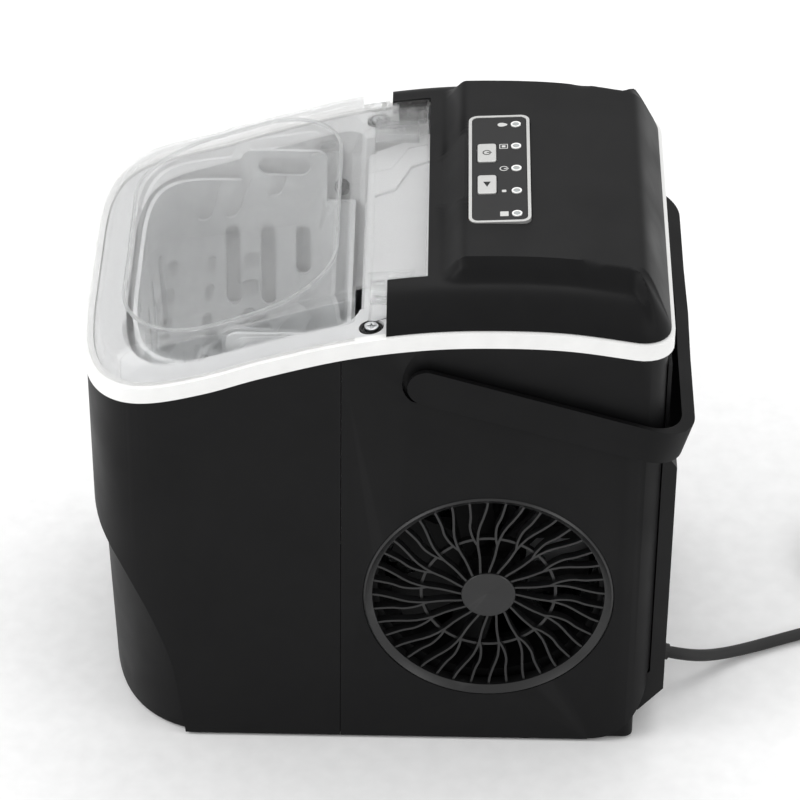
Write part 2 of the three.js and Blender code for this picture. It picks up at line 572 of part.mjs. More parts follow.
// A domed skin over a plan outline: rings shrink towards the middle, with a height at each point.
const INSETS = [0, 2.5, 6, 11, 17, 24, 32, 45, 70];
const UNDER_INSETS = [0, 6, 17, 32, 70];
function dome(outlineAt, height, thick) {
  const layer = (insets, drop, extra) =>
    insets.map((d) => outlineAt(d + extra).map((p) => V(p.x, p.y, height(p.x, p.y, d + extra) - drop)));
  const top = layer(INSETS, 0, 0);
  const bottom = layer(UNDER_INSETS, thick, thick).reverse();
  const low = outlineAt(0).map((p) => V(p.x, p.y, trimZ(p.y) + TRIM_HEIGHT + GAP));
  const lowIn = outlineAt(thick).map((p) => V(p.x, p.y, trimZ(p.y) + TRIM_HEIGHT + GAP));
  return ringSolid([...bottom, lowIn, low, ...top]);
}
// A closed skin through rings, capped at its first and last ring, which may lie one over the other.
function ringSolid(rings) {
  const n = rings[0].length;
  const faces = [];
  for (let k = 0; k + 1 < rings.length; k++)
    for (let i = 0; i < n; i++) {
      const a = k * n + i;
      const b = k * n + ((i + 1) % n);
      faces.push(a, b, b + n, a, b + n, a + n);
    }
  const cap = THREE.ShapeUtils.triangulateShape(rings[0].map((p) => new THREE.Vector2(p.x, p.y)), []);
  const last = (rings.length - 1) * n;
  for (const [a, b, c] of cap) faces.push(a, c, b, last + a, last + b, last + c);
  return solid(new THREE.BufferGeometry().setFromPoints(rings.flat()).setIndex(faces));
}

const skinPlan = (d) => finePlan({ ...grown(TRIM_PLAN, -2 - d), corner: Math.max(6, 19 - d), z: 0 });

function coverHeight(x, y, d) {
  const rim = trimZ(y) + TRIM_HEIGHT;
  const base = rim + shoulderRise(d, LID_RISE);
  const edge = 83 + 24 * smooth((y - 120) / 18);
  const side = 1 - smooth((Math.abs(x) - edge) / 9);
  const pad = 10 * side * smooth((y - 26) / 12) * smooth(d / 18);
  return base + pad;
}

function topCover() {
  const skin = dome(skinPlan, coverHeight, 2.4);
  const behind = box(-130, NOTCH.ear, 200, 130, 160, 320);
  const notch = box(-NOTCH.half, -20, 200, NOTCH.half, NOTCH.y, 320);
  let cover = cut(skin.intersect(behind), notch);
  cover = cut(cover, placePanel(prism("z", roundedRect(2 * PANEL.half + 1, 2 * PANEL.depth + 1, 5), -3,
      6)));
  // Ears under the cover carry the lid's pins.
  for (const side of [1, -1]) {
    const [a, b] = side > 0 ? [NOTCH.half + 0.2, NOTCH.half + 8] : [-NOTCH.half - 8, -NOTCH.half - 0.2];
    const ear = prism("x", [[3, 262], [18, 262], [18, 274], [3, 274]], a, b);
    cover = cut(cover.add(ear), rod("x", LID_AXIS.y, LID_AXIS.z, a - 2, b + 2, 3, 3, 16));
  }
  add("top_cover", cover, MAT.cover);
}

// Moves a solid drawn on the floor, with X to the right, on to the sloping control panel.
const panelZ = coverHeight(0, PANEL.y, 60);
function placePanel(shape) {
  return shape.rotate([PANEL.tilt, 0, 0]).translate([PANEL.x, PANEL.y, panelZ]);
}
function controls() {
  const outline = (w, h, r) => roundedRect(w, h, r);
  const [w, h] = [2 * PANEL.half, 2 * PANEL.depth];
  const outer = prism("z", outline(w, h, 4.8), -2.4, 0.8);
  const inside = prism("z", outline(w - 3.4, h - 3.4, 3.4), -3, 2);
  add("panel_bezel", placePanel(cut(outer, inside)), MAT.silver);
  let plate = prism("z", outline(w - 4, h - 4, 3.1), -2.4, 0.5);
  const buttons = [["power_button", -14], ["select_button", 15.6]];
  for (const [, x] of buttons) plate = cut(plate, prism("z", outline(17.8, 10.4, 1.4), -3,
      2).translate([x, -6.4, 0]));
  const lights = [-2, -1, 0, 1, 2].map((k) => 0.6 + 20.9 * k);
  for (const x of lights) plate = cut(plate, rod("z", x, 8.6, -3, 2, 2.9, 2.9, 16));
  add("panel_plate", placePanel(plate), MAT.dark);
  for (const [name, x] of buttons) add(name, placePanel(prism("z", outline(17, 9.6, 1.2), -2.3,
      1.1).translate([x, -6.4, 0])), MAT.silver);
  lights.forEach((x, i) => add("indicator_light_" + (i + 1),
      placePanel(rod("z", x, 8.6, -2.3, 0.9, 2.6, 2.5, 14)), MAT.led));
}

function lid() {
  const height = (x, y, d) => trimZ(y) + TRIM_HEIGHT + shoulderRise(d,
      LID_RISE) - 0.4 * smooth((d - 19) / 2);
  const skin = dome(skinPlan, height, 2.2);
  const front = box(-130, -170, 200, 130, NOTCH.ear - 1.4, 320);
  const tongue = box(-NOTCH.half + 0.7, -10, 262, NOTCH.half - 0.7, NOTCH.y - 0.7, 320);
  let cover = skin.intersect(front.add(tongue));
  for (const side of [1, -1]) {
    const [a, b] = side > 0 ? [NOTCH.half - 3.2, NOTCH.half - 0.7] : [-NOTCH.half + 0.7, -NOTCH.half + 3.2];
    const cheek = prism("x", [[-6, 262], [15, 263.5], [18, 276], [-6, 273]], a, b);
    cover = cover.add(cheek);
    const [c, d] = side > 0 ? [NOTCH.half - 1.5, NOTCH.half + 7] : [-NOTCH.half - 7, -NOTCH.half + 1.5];
    cover = cut(cover, rod("x", LID_AXIS.y, LID_AXIS.z, a - 1, b + 1, 2.9, 2.9, 16));
    add("lid_pin_" + (side > 0 ? "right" : "left"), rod("x", LID_AXIS.y, LID_AXIS.z, c, d, 2.5, 2.5, 16),
        MAT.clear);
  }
  for (const [x0, x1] of [[85, 115], [-115, -85]]) cover = cut(cover, box(x0, -16, 240, x1, 5, 290));
  add("lid", cover, MAT.clear);
}

// ---------- handle ----------
function handle() {
  const { inner: a, outer: b, reach, bow, bar, band } = HANDLE;
  const bend = 22;
  const half = [[b, -16], [b, reach - bend - bow]];
  const arc = (cx, cy, r) => {
    const found = [];
    for (let i = 1; i <= 6; i++) found.push([cx + r * Math.cos((Math.PI / 12) * i),
        cy + r * Math.sin((Math.PI / 12) * i)]);
    return found;
  };
  const outer = [...half, ...arc(b - bend, reach - bend - bow, bend), [40, reach - 0.6], [0, reach]];
  const r = bend - 3;
  const inside = [[a, -16], [a, reach - bar - r - bow], ...arc(a - r, reach - bar - r - bow, r),
      [40, reach - bar - 0.6], [0, reach - bar]];
  const mirror = (line) => line.slice(0, -1).map(([x, y]) => [-x, y]).reverse();
  const ring = [...outer, ...mirror(outer), ...mirror(inside).reverse(), ...inside.slice().reverse()];
  let bail = prism("z", ring, -band / 2, band / 2);
  // Round ends, seen from the side.
  const end = [];
  for (let i = 0; i <= 12; i++) {
    const t = Math.PI / 2 + (Math.PI * i) / 12;
    end.push([(band / 2) * Math.cos(t), (band / 2 + 0.02) * Math.sin(t)]);
  }
  end.push([200, -band / 2 - 0.1], [200, band / 2 + 0.1]);
  bail = bail.intersect(prism("x", end, -130, 130));
  for (const [from, to] of [[a - 2, b - 0.9], [-b + 0.9, -a + 2]]) bail = cut(bail,
      rod("x", 0, 0, from, to, 4, 4, 20));
  add("carry_handle", bail.rotate([HANDLE.tilt, 0, 0]).translate([0, HANDLE.y, HANDLE.z]), MAT.shell);
  for (const [name, from, to] of [["right", 98, b - 1.3], ["left", -b + 1.3, -98]]) {
    const flange = name === "right" ? [98, 101] : [-101, -98];
    add("handle_pivot_" + name, join(rod("x", HANDLE.y, HANDLE.z, from, to, 3.6, 3.6, 18),
        rod("x", HANDLE.y, HANDLE.z, ...flange, 7, 7, 18)), MAT.steel);
  }
}

// ---------- power lead ----------
// Route of the free stretch on the floor, from the strain relief to the coil.
const LEAD_ROUTE = [[57.6, 160, 17.6], [54, 168, 13.8], [47.5, 177, 9], [40, 188, 5.2], [33, 201, 3.7],
    [26, 216, 3.5], [19, 232, 3.5], [13, 250, 3.5], [9.6, 268, 3.7], [8.5, 286, 4.6]];
const COIL = { x: -44.7, y: 286, inner: 29.5, outer: 49.5, low: 1.6, high: 14.6 };
function lead() {
  const outline = [[3.6, 152.5], [4.4, 152.5], [5.6, 136], [6.2, 134.6], [4.2, 134.2], [4.2, 127.4],
      [6.2, 127], [6.2, 124], [3.6, 124], [3.6, 152.5]];
  const about = 130.8; // the base's back wall
  const profile = outline.map(([r, y]) => [r, y - about]);
  const grommet = turned(profile, 14).rotate([-90, 0, 0]).rotate([-CORD.slope, 0, 0]);
  add("strain_relief", grommet.translate([CORD.x, about, CORD.z]), MAT.rubber);
  const fall = Math.tan((CORD.slope * Math.PI) / 180);
  const start = [126, 134, 142, 152].map((y) => V(CORD.x, y, CORD.z - (y - about) * fall));
  const path = new THREE.CatmullRomCurve3([...start, ...LEAD_ROUTE.map((p) => V(...p))], false,
      "centripetal");
  const round = new THREE.Shape().absarc(0, 0, CORD.d / 2, 0, 2 * Math.PI);
  const tube = { steps: 40, extrudePath: path, curveSegments: 5, bevelEnabled: false };
  add("power_cord", solid(new THREE.ExtrudeGeometry(round, tube)), MAT.rubber);

  const { x, y, inner: r0, outer: r1, low, high } = COIL;
  const ring = [[r0, low], [r1, low], [r1, high], [r0, high], [r0, low]];
  add("cord_coil", turned(ring, 40).translate([x, y, 0]), MAT.rubber);
  const band = box(x - r1 - 1.6, y - 5, 0.1, x - r0 + 2.2, y + 5, high + 1.5);
  add("cord_tie", cut(band, box(x - r1 - 0.4, y - 9, 1.3, x - r0 + 1, y + 9, high + 0.4)), MAT.dark);
  const body = prism("x", roundedRect(24, 16, 5), x - 18, x + 18).translate([0, y + r1 + GAP + 12.2, 8]);
  const pins = [-6.3, 6.3].map((dy) => box(x - 34, y + r1 + 12.5 + dy - 0.8, 5, x - 17.9,
      y + r1 + 12.5 + dy + 0.8, 11.4));
  add("plug", join(body, ...pins), MAT.rubber);
}

frontShell();
rearShell();
base();
rearCover();
trim();
grille();
fan();
refrigeration();
linerAndBasket();
evaporator();
tray();
sensors();
topCover();
controls();
lid();
handle();
lead();
export default root;
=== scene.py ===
"""Looks of the countertop ice maker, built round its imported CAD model.

Lengths here are in millimetres until a mesh is made, when make() turns them into metres.
"""

import json
import math

import bmesh
import bpy
import numpy as np
from mathutils import Matrix, Vector


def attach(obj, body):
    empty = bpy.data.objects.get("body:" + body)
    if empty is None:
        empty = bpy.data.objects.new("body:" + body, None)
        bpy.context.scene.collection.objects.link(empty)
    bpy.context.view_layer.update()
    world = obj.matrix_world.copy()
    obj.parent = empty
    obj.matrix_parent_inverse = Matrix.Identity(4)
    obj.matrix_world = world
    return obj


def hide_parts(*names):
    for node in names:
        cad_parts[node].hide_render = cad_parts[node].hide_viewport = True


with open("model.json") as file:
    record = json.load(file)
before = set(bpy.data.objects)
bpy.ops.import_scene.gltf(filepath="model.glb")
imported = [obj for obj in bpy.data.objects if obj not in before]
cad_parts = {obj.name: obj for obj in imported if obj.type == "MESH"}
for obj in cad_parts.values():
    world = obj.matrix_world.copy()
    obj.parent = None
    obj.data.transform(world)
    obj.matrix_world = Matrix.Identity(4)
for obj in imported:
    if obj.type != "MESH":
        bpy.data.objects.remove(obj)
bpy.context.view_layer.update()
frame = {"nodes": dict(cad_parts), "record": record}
MM = 0.001


# ---------- camera ----------
VIEW_YAW, VIEW_PITCH, VIEW_ROLL = 0.007, 0.629, 0.013
VIEW_PLACE, VIEW_LENS, VIEW_SENSOR = (1.7175, 0.018, 1.391), 180, 36


def camera():
    yaw, pitch, roll = VIEW_YAW, VIEW_PITCH, VIEW_ROLL
    forward = Vector((-math.cos(yaw) * math.cos(pitch), -math.sin(yaw) * math.cos(pitch),
        -math.sin(pitch)))
    right = forward.cross(Vector((0, 0, 1))).normalized()
    up = right.cross(forward)
    turned = Matrix((right * math.cos(roll) + up * math.sin(roll),
        up * math.cos(roll) - right * math.sin(roll), -forward))
    data = bpy.data.cameras.new("camera")
    data.lens, data.sensor_width = VIEW_LENS, VIEW_SENSOR
    cam = bpy.data.objects.new("camera", data)
    cam.matrix_world = Matrix.Translation(VIEW_PLACE) @ turned.transposed().to_4x4()
    bpy.context.scene.collection.objects.link(cam)
    bpy.context.scene.camera = cam


camera()


# ---------- materials ----------
def material(name, colour, rough, metal=0.0, grain=0.0, grain_size=0.4, speckle=0.06, wear_and_highlight=0.0,
    **sockets):
    """A procedural finish: mottled roughness, a moulded or brushed grain, and lighter edges: rubbed wear, and
    on the grille moulding a painted highlight.
    """
    m = bpy.data.materials.new(name)
    m.use_nodes = True
    nt = m.node_tree
    shader = nt.nodes["Principled BSDF"]
    shader.inputs["Metallic"].default_value = metal
    for key, value in sockets.items():
        shader.inputs[key.replace("_", " ")].default_value = value
    place = nt.nodes.new("ShaderNodeTexCoord")

    def noise(size, detail=3.0):
        n = nt.nodes.new("ShaderNodeTexNoise")
        n.inputs["Scale"].default_value = 1 / (size * MM)
        n.inputs["Detail"].default_value = detail
        nt.links.new(place.outputs["Object"], n.inputs["Vector"])
        return n

    def ramp(source, low, high, out_low, out_high):
        r = nt.nodes.new("ShaderNodeMapRange")
        for key, value in zip(("From Min", "From Max", "To Min", "To Max"),
            (low, high, out_low, out_high)):
            r.inputs[key].default_value = value
        nt.links.new(source, r.inputs["Value"])
        return r.outputs["Result"]

    broad = noise(38)
    nt.links.new(ramp(broad.outputs["Fac"], 0.3, 0.7, rough - speckle, rough + speckle),
        shader.inputs["Roughness"])
    tint = nt.nodes.new("ShaderNodeMix")
    tint.data_type = "RGBA"
    tint.inputs[6].default_value = (*[c * 0.93 for c in colour], 1)
    tint.inputs[7].default_value = (*[min(1, c * 1.05 + 0.001) for c in colour], 1)
    nt.links.new(noise(11).outputs["Fac"], tint.inputs[0])
    base = tint.outputs[2]
    # Pointiness lightens the convex edges: rubbed wear on most finishes, painted highlight on the grille
    # moulding.
    if wear_and_highlight:
        edge = nt.nodes.new("ShaderNodeNewGeometry")
        rubbed_and_highlit = nt.nodes.new("ShaderNodeMix")
        rubbed_and_highlit.data_type = "RGBA"
        rubbed_and_highlit.inputs[7].default_value = (*[min(1, c * 1.6 + 0.03) for c in colour], 1)
        nt.links.new(ramp(edge.outputs["Pointiness"], 0.53, 0.62, 0, wear_and_highlight), rubbed_and_highlit.inputs[0])
        nt.links.new(base, rubbed_and_highlit.inputs[6])
        base = rubbed_and_highlit.outputs[2]
    nt.links.new(base, shader.inputs["Base Color"])
    if grain:
        bump = nt.nodes.new("ShaderNodeBump")
        bump.inputs["Strength"].default_value = grain
        bump.inputs["Distance"].default_value = 0.05 * MM
        nt.links.new(noise(grain_size, 2.0).outputs["Fac"], bump.inputs["Height"])
        nt.links.new(bump.outputs["Normal"], shader.inputs["Normal"])
    return m


MAT = {
    "shell": material("matte_black_shell", (0.0042, 0.0042, 0.0045), 0.5, grain=0.6, wear_and_highlight=0.12,
        Specular_IOR_Level=0.13),
    "cover": material("satin_black_cover", (0.006, 0.006, 0.0063), 0.46, grain=0.45, wear_and_highlight=0.12,
        Specular_IOR_Level=0.11),
    "white": material("gloss_white_trim", (0.84, 0.84, 0.83), 0.22, grain=0.15, grain_size=1.5,
        speckle=0.04),
    "liner": material("white_liner", (0.64, 0.645, 0.65), 0.36, grain=0.25, grain_size=0.8),
    "basket": material("milky_basket", (0.74, 0.75, 0.755), 0.3, grain=0.2, grain_size=1.0),
    "clear": material("clear_lid", (0.985, 0.99, 0.99), 0.045, speckle=0.015, grain=0.04, grain_size=6,
        Transmission_Weight=1.0, IOR=1.45, Alpha=0.36),
    "bead": material("clear_edge", (0.8, 0.81, 0.81), 0.08, speckle=0.02, grain=0.04, grain_size=6,
        Transmission_Weight=0.85, IOR=1.45, Alpha=0.62),
    "silver": material("silver_paint", (0.5, 0.5, 0.49), 0.4, metal=0.5, grain=0.3, grain_size=0.3),
    "print": material("silver_print", (0.55, 0.55, 0.54), 0.5, metal=0.2, grain=0.2),
    "led": material("indicator_lens", (0.42, 0.42, 0.4), 0.2, speckle=0.05, grain=0.1,
        Subsurface_Weight=0.2),
    "panel": material("panel_film", (0.017, 0.017, 0.0175), 0.36, grain=0.35, grain_size=0.25,
        Specular_IOR_Level=0.16),
    "steel": material("zinc_steel", (0.5, 0.51, 0.52), 0.3, metal=1.0, grain=0.3, grain_size=0.6,
        wear_and_highlight=0.2),
    "copper": material("drawn_copper", (0.62, 0.29, 0.16), 0.28, metal=1.0, grain=0.2, grain_size=1.2,
        speckle=0.1),
    "dark": material("black_moulding", (0.004, 0.004, 0.0043), 0.45, grain=0.4, wear_and_highlight=0.12,
        Specular_IOR_Level=0.2),
    # The grille's strong edge lightening paints highlights on its bezel rim and ribs.
    "guard": material("grille_moulding", (0.006, 0.006, 0.0063), 0.34, grain=0.3, wear_and_highlight=0.3,
        Specular_IOR_Level=0.5),
    "rubber": material("black_rubber", (0.009, 0.009, 0.009), 0.62, grain=0.7, grain_size=0.7),
    "board": material("circuit_board", (0.02, 0.11, 0.045), 0.4, grain=0.3, grain_size=0.5),
}

for part in frame["record"]["subparts"]:
    cad_node = frame["nodes"][part["node"]]
    cad_node.data.materials.clear()
    cad_node.data.materials.append(MAT[part["material_slot"]])


# ---------- mesh tools ----------
def make(name, verts, faces, body=None, finish=None, replaces=()):
    mesh = bpy.data.meshes.new(name)
    mesh.from_pydata([tuple(c * MM for c in v) for v in verts], [], faces)
    mesh.validate()
    bm = bmesh.new()
    bm.from_mesh(mesh)
    bmesh.ops.remove_doubles(bm, verts=bm.verts, dist=1e-6)
    bmesh.ops.recalc_face_normals(bm, faces=bm.faces)
    bm.to_mesh(mesh)
    bm.free()
    obj = bpy.data.objects.new(name, mesh)
    bpy.context.scene.collection.objects.link(obj)
    if body:
        show(obj, body, finish, replaces)
    return obj


def show(obj, body, finish, replaces=()):
    obj.data.materials.clear()
    obj.data.materials.append(MAT[finish])
    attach(obj, body)
    if replaces:
        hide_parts(*replaces)
    return obj


def apply_modifiers(obj):
    graph = bpy.context.evaluated_depsgraph_get()
    mesh = bpy.data.meshes.new_from_object(obj.evaluated_get(graph), depsgraph=graph)
    obj.modifiers.clear()
    old, obj.data = obj.data, mesh
    bpy.data.meshes.remove(old)
    return obj


def combine(obj, operation, tools):
    """Cuts tools from obj, joins them to it or keeps what they share, and removes them."""
    for tool in tools:
        mod = obj.modifiers.new("cut", "BOOLEAN")
        mod.operation, mod.solver, mod.object = operation, "MANIFOLD", tool
        apply_modifiers(obj)
        bpy.data.objects.remove(tool)
    return obj


def cut(obj, *tools):
    return combine(obj, "DIFFERENCE", tools)


def join(obj, *tools):
    return combine(obj, "UNION", tools)


def common(obj, *tools):
    return combine(obj, "INTERSECT", tools)


def soften(obj, width=0.6, segments=2, angle=38, merge=0.4):
    """Rounds the sharp edges and shades the rest smooth."""
    bm = bmesh.new()
    bm.from_mesh(obj.data)
    bmesh.ops.remove_doubles(bm, verts=bm.verts, dist=2e-5)
    if merge:
        bmesh.ops.dissolve_limit(bm, angle_limit=math.radians(merge), verts=bm.verts, edges=bm.edges)
    bm.to_mesh(obj.data)
    bm.free()
    if width:
        bevel = obj.modifiers.new("bevel", "BEVEL")
        bevel.width, bevel.segments = width * MM, segments
        bevel.limit_method, bevel.angle_limit = "ANGLE", math.radians(angle)
        bevel.use_clamp_overlap = True
        apply_modifiers(obj)
    bm = bmesh.new()
    bm.from_mesh(obj.data)
    bmesh.ops.triangulate(bm, faces=[f for f in bm.faces if len(f.verts) > 4])
    bm.to_mesh(obj.data)
    bm.free()
    for p in obj.data.polygons:
        p.use_smooth = True
    obj.data.set_sharp_from_angle(angle=math.radians(32))
    mod = obj.modifiers.new("normals", "WEIGHTED_NORMAL")
    mod.keep_sharp = True
    apply_modifiers(obj)
    return obj


def loft(rings, name="tool"):
    n = len(rings[0])
    verts = [p for ring in rings for p in ring]
    faces = [tuple(range(n))[::-1], tuple(range(len(verts) - n, len(verts)))]
    for k in range(len(rings) - 1):
        for i in range(n):
            a, b = k * n + i, k * n + (i + 1) % n
            faces.append((a, b, b + n, a + n))
    return make(name, verts, faces)


def at(ring, z):
    return [(x, y, z(x, y) if callable(z) else z) for x, y in ring]


def prism(axis, outline, low, high, name="tool"):
    order = {"x": lambda a, b, c: (c, a, b), "y": lambda a, b, c: (b, c, a), "z": lambda a, b,
        c: (a, b, c)}[axis]
    n = len(outline)
    verts = [order(a, b, c) for c in (low, high) for a, b in outline]
    faces = [tuple(range(n))[::-1], tuple(range(n, 2 * n))]
    faces += [(i, (i + 1) % n, n + (i + 1) % n, n + i) for i in range(n)]
    return make(name, verts, faces)


def block(x0, y0, z0, x1, y1, z1):
    return prism("z", [(x0, y0), (x1, y0), (x1, y1), (x0, y1)], z0, z1)


def circle(a, b, r, sides=48):
    return [(a + r * math.cos(2 * math.pi * i / sides), b + r * math.sin(2 * math.pi * i / sides))
        for i in range(sides)]


def rounded(a, b, w, h, r, steps=6):
    out = []
    for cx, cy, start in ((1, 1, 0), (-1, 1, 90), (-1, -1, 180), (1, -1, 270)):
        for i in range(steps + 1):
            t = math.radians(start + 90 * i / steps)
            out.append((a + cx * (w / 2 - r) + r * math.cos(t), b + cy * (h / 2 - r) + r * math.sin(t)))
    return out


def slot(a, b, w, h, steps=6):
    return rounded(a, b, w, h, min(w, h) / 2 - 0.01, steps)


def turned(name, profile, sides=96):
    """A closed [radius, height] profile turned round the Z axis."""
    verts, faces = [], []
    m = len(profile)
    for i in range(sides):
        a = 2 * math.pi * i / sides
        verts += [(r * math.cos(a), r * math.sin(a), z) for r, z in profile]
    for i in range(sides):
        j = (i + 1) % sides
        for k in range(m):
            q = (i * m + k, j * m + k, j * m + (k + 1) % m, i * m + (k + 1) % m)
            faces.append(q)
    return make(name, verts, faces)


def moved(obj, matrix):
    obj.data.transform(matrix)
    return obj


def smooth(t):
    c = min(1.0, max(0.0, t))
    return c * c * (3 - 2 * c)


# ---------- the casing's outline ----------
HALF, FLOOR_GAP, WALL, GAP = 110.4, 1.6, 2.6, 0.3
SEAM_Y, REAR_Y = -22.6, 140.0
TRIM_HEIGHT, LID_RISE, LIP = 9.0, 17.0, 1.6
TRIM_POINTS = [(-170, 212), (-128, 214.5), (-92, 223), (-62, 233.5), (-22, 245.2), (16, 251.8),
    (50, 254), (88, 253.2), (125, 248), (160, 242.5)]


def spline(pts, count):
    """Points of the even Catmull-Rom curve through pts."""
    out = []
    for k in range(count + 1):
        t = k / count * (len(pts) - 1)
        i = min(int(t), len(pts) - 2)
        f = t - i
        p = [pts[max(0, i - 1)], pts[i], pts[i + 1], pts[min(len(pts) - 1, i + 2)]]
        if i == 0:
            p[0] = p[1]
        if i == len(pts) - 2:
            p[3] = p[2]
        out.append(tuple(
            0.5 * (2 * p[1][c] + (p[2][c] - p[0][c]) * f
                + (2 * p[0][c] - 5 * p[1][c] + 4 * p[2][c] - p[3][c]) * f * f
                   + (3 * p[1][c] - p[0][c] - 3 * p[2][c] + p[3][c]) * f ** 3)
            for c in (0, 1)
        ))
    return out


LINE = spline(TRIM_POINTS, 90)
LINE_Y, LINE_Z = [p[0] for p in LINE], [p[1] for p in LINE]


def trim_z(y):
    return float(np.interp(y, LINE_Y, LINE_Z))


def outline(half, front, rear, power, shoulder, corner=20.0, grow=0.0, steps=96, round_steps=8,
    side_steps=24):
    half, front, rear, corner = half + grow, front - grow, rear + grow, max(2.0, corner + grow)
    ring = []
    for i in range(steps + 1):
        a = math.pi * (1 + i / steps)
        c, s = math.cos(a), abs(math.sin(a))
        ring.append((half * math.copysign(abs(c) ** (2 / power), c),
            shoulder - (shoulder - front) * s ** (2 / power)))
    sides = [shoulder + (rear - corner - shoulder) * (i + 1) / (side_steps + 1)
        for i in range(side_steps)]
    ring += [(half, y) for y in sides]
    for side, start in ((1, 0.0), (-1, math.pi / 2)):
        for i in range(round_steps + 1):
            a = start + math.pi / 2 * i / round_steps
            ring.append((side * (half - corner) + corner * math.cos(a),
                rear - corner + corner * math.sin(a)))
    ring += [(-half, y) for y in reversed(sides)]
    return ring


TOP = dict(half=HALF, front=-155.5, rear=REAR_Y, power=4.4, shoulder=-80)
FOOT = dict(TOP, half=HALF - 0.4, front=-152)
KICK_FOOT = dict(FOOT, front=-146.5, power=2.8, shoulder=-70)
KICK_TOP = dict(TOP, front=-150.5, power=3.5, shoulder=-76)
TRIM = dict(TOP, half=HALF + 0.3, front=-156, rear=142.8, corner=20)
CREASE = [(-104, -2), (-107, 22), (-111.5, 50), (-121.5, 79), (-134, 104), (-142.7, 116), (-152, 125),
    (-160, 131)]
KICK_HEIGHT = 128.0


def trim_band(low, high, start=-165, end=155):
    line = [p for p in LINE if start < p[0] < end]
    return prism("x", [(y, z + low) for y, z in line] + [(y, z + high) for y, z in reversed(line)],
        -130, 130)


def casing():
    return loft([at(outline(**FOOT), FLOOR_GAP), at(outline(**TOP), 270)])


def hollow():
    return loft([
        at(outline(**KICK_FOOT, grow=-WALL), 1), at(outline(**KICK_TOP, grow=-WALL), KICK_HEIGHT),
        at(outline(**TOP, grow=-WALL), KICK_HEIGHT + 12), at(outline(**TOP, grow=-WALL), 275),
    ])


def front_shell():
    arch = [(-170, -5), (CREASE[0][0], -5)] + spline(CREASE, 60) + [(-170, CREASE[-1][1])]
    kick = loft([at(outline(**KICK_FOOT), -6), at(outline(**KICK_TOP), KICK_HEIGHT + 6)])
    recess = cut(prism("x", arch, -130, 130), kick)
    shell = common(casing(), block(-130, -170, 0, 130, SEAM_Y - 0.15, 300), trim_band(-260, -GAP))
    shell = cut(shell, hollow(), recess)
    shell.name = "front_casing"
    show(soften(shell, 0.7), "machine", "shell", ["front_shell"])


HANDLE = dict(y=20, z=231, tilt=-16.5, reach=138.8, bow=0.6, band=19.4, inner=111, outer=113.8, bar=7)


def arm_pocket(side, deeper):
    h = HANDLE
    slope = math.tan(math.radians(h["tilt"]))
    d, far = h["inner"] - 4 - deeper, 130
    corners = []
    for y in (0, 160):
        low = h["z"] + slope * (y - h["y"]) - 12.5 - deeper
        corners += [(d, y, low), (far, y, low), (far, y, 256), (HALF + 0.2 - deeper, y, 256)]
    faces = [(0, 1, 2, 3), (7, 6, 5, 4), (0, 4, 5, 1), (1, 5, 6, 2), (2, 6, 7, 3), (3, 7, 4, 0)]
    wedge = make("tool", corners, faces)
    r = 13 + deeper
    line = [(h["y"], 262)]
    for i in range(13):
        a = math.pi / 2 + math.pi * i / 12
        lift = 8 * (1 - smooth((a - math.pi / 2) / (0.6 * math.pi)))
        line.append((h["y"] + r * math.cos(a) * 0.95, h["z"] + lift + r * math.sin(a)))
    line += [(h["y"] + 160, h["z"] + slope * 160 - r), (h["y"] + 160, 262)]
    pocket = common(wedge, prism("x", line[::-1], 80, 140))
    if side < 0:
        pocket.data.transform(Matrix.Scale(-1, 4, (1, 0, 0)))
        pocket.data.flip_normals()
    return pocket


def lower_corner(grow):
    """What the rounded lower rear corner of the sides leaves off, where the base shows."""
    turns = np.linspace(0, math.pi / 2, 24)
    arc = [(108 + (31 + grow) * math.cos(a), 38 - (36 + grow) * math.sin(a)) for a in turns]
    return prism("x", [(150, -2), (150, 38)] + arc + [(108, -2)], -130, 130)


FAN = dict(y=53.6, z=96.3, open=60, bezel=64.5, hub=14)


def rear_shell():
    inside = hollow()
    for side in (1, -1):
        cut(inside, arm_pocket(side, WALL))
    shell = common(casing(), block(-130, SEAM_Y + 0.15, 0, 130, 160, 300), trim_band(-260, -GAP))
    cut(shell, inside, arm_pocket(1, 0), arm_pocket(-1, 0))
    for a, b in ((95, 120), (-120, -95)):
        cut(shell, prism("x", circle(HANDLE["y"], HANDLE["z"], 4.3, 32), a, b))
    cut(shell, prism("x", circle(FAN["y"], FAN["z"], FAN["bezel"] + GAP, 128), 90, 130))
    for row in range(9):
        cut(shell, prism("x", slot(FAN["y"], 52 + row * 11, 104, 5), -130, -90))
    cut(shell, block(-78, 130, 40, 78, 150, 165))
    cut(shell, lower_corner(0), block(-96.5, 125, -2, 96.5, 150, 38))
    shell.name = "rear_casing"
    show(soften(shell, 0.7), "machine", "shell", ["rear_shell"])


def trim():
    ring = common(loft([at(outline(**TRIM), 180), at(outline(**TRIM), 300)]), trim_band(0, TRIM_HEIGHT))
    cut(ring, loft([at(outline(**TRIM, grow=-5), 170), at(outline(**TRIM, grow=-5), 310)]))
    ring.name = "trim_band"
    show(soften(ring, 1.2, 3), "machine", "white", ["trim_ring"])


# ---------- lid and cover ----------
def rise(d):
    return LIP + (LID_RISE - LIP) * math.sin(math.pi / 2 * min(1, max(0, d) / 19)) ** 0.8


def cover_height(x, y, d):
    edge = 83 + 24 * smooth((y - 120) / 18)
    side = 1 - smooth((abs(x) - edge) / 9)
    pad = 10 * side * smooth((y - 26) / 12) * smooth(d / 18)
    return trim_z(y) + TRIM_HEIGHT + rise(d) + pad


NOTCH_HALF, NOTCH_Y, EAR_Y = 83.5, 19.5, -0.5
LID_Y, LID_Z = 10.0, 269.0


INNER_KEEP = 0.9772  # the skin's inner rim, as a share of the outer one


